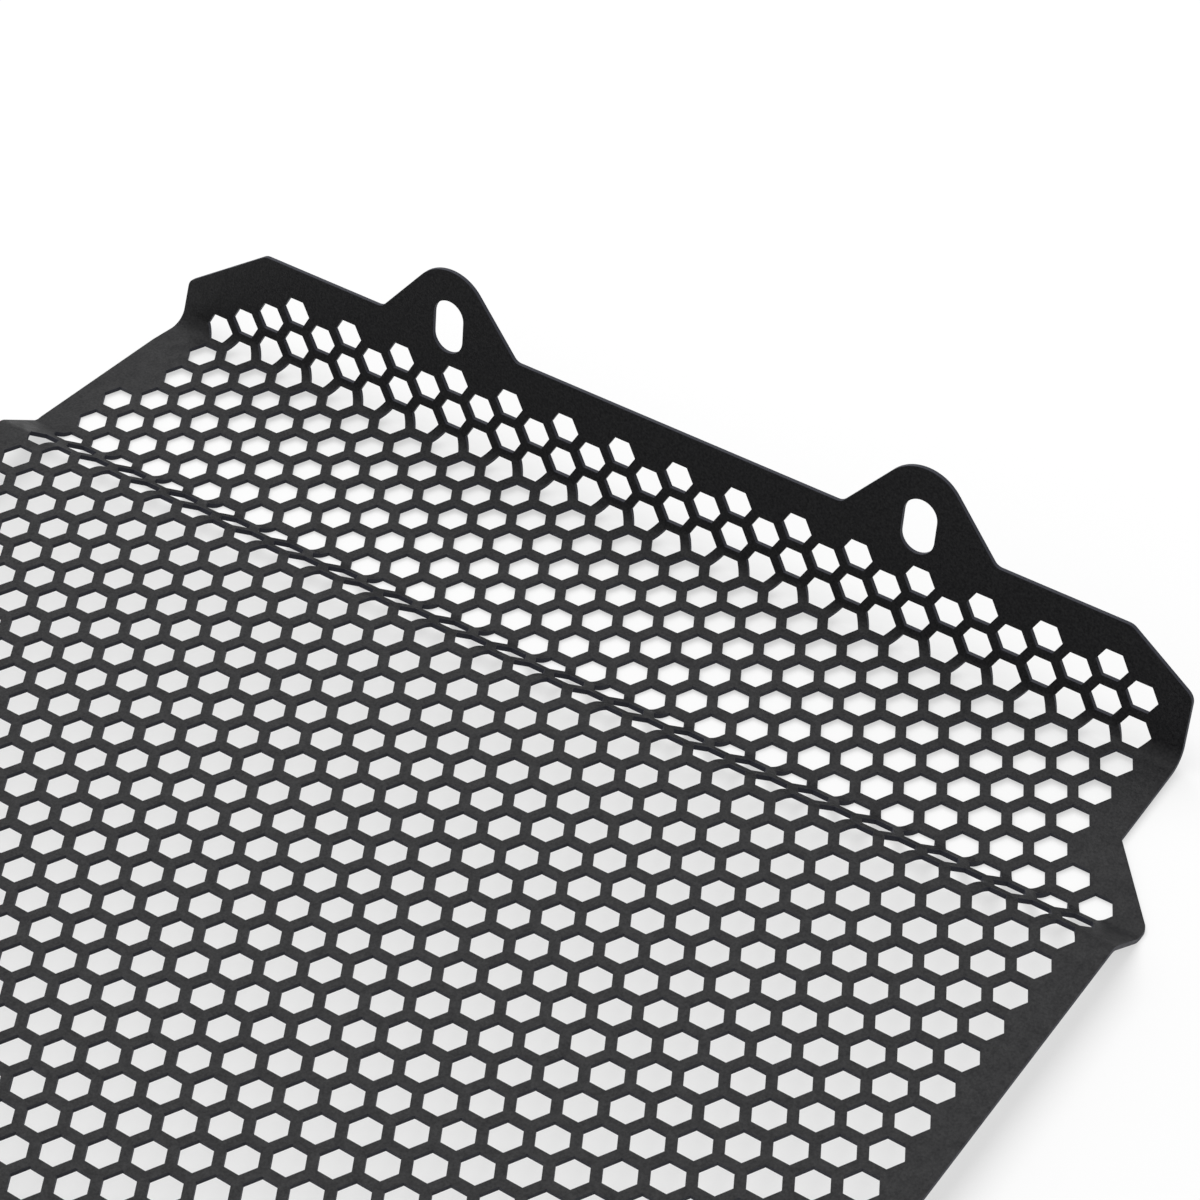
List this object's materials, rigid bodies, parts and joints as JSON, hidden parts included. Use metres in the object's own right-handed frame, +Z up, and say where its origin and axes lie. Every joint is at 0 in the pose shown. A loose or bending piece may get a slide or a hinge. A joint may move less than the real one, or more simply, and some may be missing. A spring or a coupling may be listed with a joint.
{
  "type": "motorcycle radiator guard",
  "caption": "Thin perforated guard for a motorcycle radiator: a flat panel of hexagonal holes with stepped ends and an upturned flange with slotted tabs.",
  "frame": {"origin": "bottom centre of the guard as it lies on its two steps", "axes": "+X along the folds, towards the end with the shoulder; +Y across the folds, towards the flange; +Z up, out of the side that faces the radiator"},
  "size_m": [0.2298, 0.203, 0.035],
  "materials": {
    "powder_coat": "satin"
  },
  "bodies": {
    "root": {"guard_sheet": "powder_coat"}
  },
  "joints": []
}
